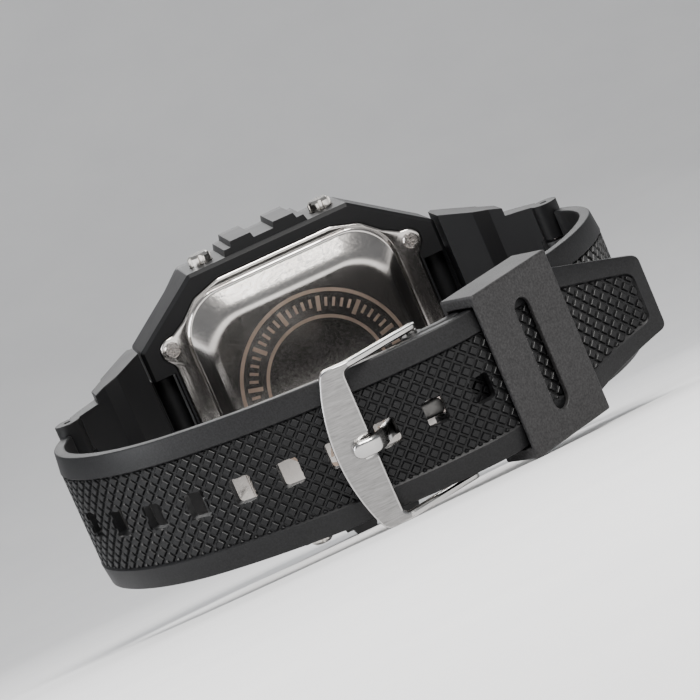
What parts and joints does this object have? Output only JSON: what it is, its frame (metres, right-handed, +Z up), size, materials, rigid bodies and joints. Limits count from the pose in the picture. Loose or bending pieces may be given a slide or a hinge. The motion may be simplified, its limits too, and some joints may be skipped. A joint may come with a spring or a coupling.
{
  "type": "digital wristwatch",
  "caption": "Buckled digital wristwatch lying on its side: resin case, screwed steel back, sprung pushers, hinged end links, rubber strap, keeper and pin buckle.",
  "frame": {"origin": "centre of the bounding box on the surface the watch lies on", "axes": "+X from the 6 o'clock end to the 12 o'clock end, +Y from the buckle towards the display, +Z up, with the watch resting on its 9 o'clock flank and its buckle"},
  "size_m": [0.0836, 0.0708, 0.0484],
  "materials": {
    "case_resin": "matte black moulded resin",
    "back_plate": "polished steel with a broad polished bevel",
    "screw_steel": "satin steel",
    "seal_rubber": "matte black",
    "crystal": "clear",
    "mask": "black print",
    "display": "grey-green reflective display",
    "backlight": "pale green film",
    "connector_rubber": "soft silicone",
    "module_plastic": "natural moulded plastic",
    "board": "green solder mask",
    "epoxy": "black epoxy",
    "battery_can": "bright nickel-plated steel",
    "spring_steel": "bright spring steel",
    "brass": "bright brass",
    "pusher_steel": "bright plated",
    "bar_steel": "bright steel",
    "strap_rubber": "matte black rubber",
    "buckle_steel": "brushed across the front bar, bright edges"
  },
  "bodies": {
    "case": {"case_middle": "case_resin", "case_back": "back_plate", "back_gasket": "seal_rubber", "back_screws": "screw_steel", "bezel": "case_resin", "bezel_screws": "screw_steel", "crystal": "crystal", "crystal_gasket": "seal_rubber", "display_mask": "mask", "lcd_panel": "display", "backlight_panel": "backlight", "zebra_strips": "connector_rubber", "module_frame": "module_plastic", "circuit_board": "board", "chip": "epoxy", "battery_holder": "module_plastic", "battery": "battery_can", "battery_clamp": "spring_steel", "quartz_can": "battery_can", "buzzer_disc": "brass", "buzzer_spring": "spring_steel", "side_contacts": "brass", "case_bar_12": "bar_steel", "case_bar_6": "bar_steel", "pusher_spring_upper_12": "spring_steel", "pusher_spring_upper_6": "spring_steel", "pusher_spring_lower_12": "spring_steel", "pusher_spring_lower_6": "spring_steel"},
    "pusher_upper_12": {"pusher_upper_12": "pusher_steel", "pusher_clip_upper_12": "spring_steel", "pusher_seal_upper_12": "seal_rubber"},
    "pusher_upper_6": {"pusher_upper_6": "pusher_steel", "pusher_clip_upper_6": "spring_steel", "pusher_seal_upper_6": "seal_rubber"},
    "pusher_lower_12": {"pusher_lower_12": "pusher_steel", "pusher_clip_lower_12": "spring_steel", "pusher_seal_lower_12": "seal_rubber"},
    "pusher_lower_6": {"pusher_lower_6": "pusher_steel", "pusher_clip_lower_6": "spring_steel", "pusher_seal_lower_6": "seal_rubber"},
    "link_12": {"end_link_12": "case_resin", "hinge_bar_12": "bar_steel"},
    "link_6": {"end_link_6": "case_resin", "hinge_bar_6": "bar_steel"},
    "case_tip_upper_12": {"case_bar_tip_upper_12": "bar_steel"},
    "case_tip_lower_12": {"case_bar_tip_lower_12": "bar_steel"},
    "hinge_tip_upper_12": {"hinge_bar_tip_upper_12": "bar_steel"},
    "hinge_tip_lower_12": {"hinge_bar_tip_lower_12": "bar_steel"},
    "case_tip_upper_6": {"case_bar_tip_upper_6": "bar_steel"},
    "case_tip_lower_6": {"case_bar_tip_lower_6": "bar_steel"},
    "hinge_tip_upper_6": {"hinge_bar_tip_upper_6": "bar_steel"},
    "hinge_tip_lower_6": {"hinge_bar_tip_lower_6": "bar_steel"},
    "long_strap": {"long_strap": "strap_rubber"},
    "short_strap": {"short_strap": "strap_rubber"},
    "keeper": {"keeper": "strap_rubber"},
    "buckle": {"buckle_frame": "buckle_steel", "buckle_bar": "buckle_steel"},
    "tongue": {"tongue": "buckle_steel"}
  },
  "joints": [
    {"name": "pusher_upper_12_press", "type": "slide", "parent": "case", "child": "pusher_upper_12", "axis": [0, 0.2228, -0.9749], "range_m": [0, 0.0009], "stiffness_N_per_m": 900, "springref_m": -0.0006, "deforming": ["pusher_spring_upper_12"]},
    {"name": "pusher_upper_6_press", "type": "slide", "parent": "case", "child": "pusher_upper_6", "axis": [0, 0.2228, -0.9749], "range_m": [0, 0.0009], "stiffness_N_per_m": 900, "springref_m": -0.0006, "deforming": ["pusher_spring_upper_6"]},
    {"name": "pusher_lower_12_press", "type": "slide", "parent": "case", "child": "pusher_lower_12", "axis": [0, -0.2228, 0.9749], "range_m": [0, 0.0009], "stiffness_N_per_m": 900, "springref_m": -0.0006, "deforming": ["pusher_spring_lower_12"]},
    {"name": "pusher_lower_6_press", "type": "slide", "parent": "case", "child": "pusher_lower_6", "axis": [0, -0.2228, 0.9749], "range_m": [0, 0.0009], "stiffness_N_per_m": 900, "springref_m": -0.0006, "deforming": ["pusher_spring_lower_6"]},
    {"name": "link_6_hinge", "type": "hinge", "parent": "case", "child": "link_6", "pos_m": [-0.02171, 0.02173, 0.02353], "axis": [0, -0.2228, 0.9749], "range_deg": [-2.5, 2.5], "stiffness_Nm_per_rad": 0.4},
    {"name": "link_12_hinge", "type": "hinge", "parent": "case", "child": "link_12", "pos_m": [0.02149, 0.02173, 0.02353], "axis": [0, -0.2228, 0.9749], "range_deg": [-2.6, 2.6]},
    {"name": "long_strap_hinge", "type": "hinge", "parent": "link_6", "child": "long_strap", "pos_m": [-0.03753, 0.01011, 0.02088], "axis": [0, -0.2228, 0.9749], "range_deg": [-1.6, 1.6]},
    {"name": "short_strap_hinge", "type": "hinge", "parent": "link_12", "child": "short_strap", "pos_m": [0.0373, 0.01011, 0.02088], "axis": [0, -0.2228, 0.9749], "range_deg": [-1.6, 1.6]},
    {"name": "case_tip_upper_12_slide", "type": "slide", "parent": "case", "child": "case_tip_upper_12", "axis": [0, 0.2228, -0.9749], "range_m": [0, 0.0013], "stiffness_N_per_m": 450, "springref_m": -0.0006},
    {"name": "case_tip_lower_12_slide", "type": "slide", "parent": "case", "child": "case_tip_lower_12", "axis": [0, -0.2228, 0.9749], "range_m": [0, 0.0013], "stiffness_N_per_m": 450, "springref_m": -0.0006},
    {"name": "hinge_tip_upper_12_slide", "type": "slide", "parent": "link_12", "child": "hinge_tip_upper_12", "axis": [0, 0.2228, -0.9749], "range_m": [0, 0.0013], "stiffness_N_per_m": 450, "springref_m": -0.0006},
    {"name": "hinge_tip_lower_12_slide", "type": "slide", "parent": "link_12", "child": "hinge_tip_lower_12", "axis": [0, -0.2228, 0.9749], "range_m": [0, 0.0013], "stiffness_N_per_m": 450, "springref_m": -0.0006},
    {"name": "case_tip_upper_6_slide", "type": "slide", "parent": "case", "child": "case_tip_upper_6", "axis": [0, 0.2228, -0.9749], "range_m": [0, 0.0013], "stiffness_N_per_m": 450, "springref_m": -0.0006},
    {"name": "case_tip_lower_6_slide", "type": "slide", "parent": "case", "child": "case_tip_lower_6", "axis": [0, -0.2228, 0.9749], "range_m": [0, 0.0013], "stiffness_N_per_m": 450, "springref_m": -0.0006},
    {"name": "hinge_tip_upper_6_slide", "type": "slide", "parent": "link_6", "child": "hinge_tip_upper_6", "axis": [0, 0.2228, -0.9749], "range_m": [0, 0.0013], "stiffness_N_per_m": 450, "springref_m": -0.0006},
    {"name": "hinge_tip_lower_6_slide", "type": "slide", "parent": "link_6", "child": "hinge_tip_lower_6", "axis": [0, -0.2228, 0.9749], "range_m": [0, 0.0013], "stiffness_N_per_m": 450, "springref_m": -0.0006},
    {"name": "keeper_slide", "type": "slide", "parent": "short_strap", "child": "keeper", "axis": [0.8387, 0.5309, 0.1214], "range_m": [-0.0004, 0.0015]},
    {"name": "buckle_hinge", "type": "hinge", "parent": "short_strap", "child": "buckle", "pos_m": [0.00643, -0.0278, 0.01221], "axis": [0, -0.2228, 0.9749], "range_deg": [-1.5, 1.5]},
    {"name": "tongue_hinge", "type": "hinge", "parent": "buckle", "child": "tongue", "pos_m": [0.00643, -0.0278, 0.01221], "axis": [0, -0.2228, 0.9749], "range_deg": [0, 1.5]}
  ],
  "couplings": [
    {"joint": "link_12_hinge", "follows": "link_6_hinge", "ratio": 1.0008},
    {"joint": "long_strap_hinge", "follows": "link_6_hinge", "ratio": -0.57708},
    {"joint": "short_strap_hinge", "follows": "link_6_hinge", "ratio": -0.57788}
  ]
}
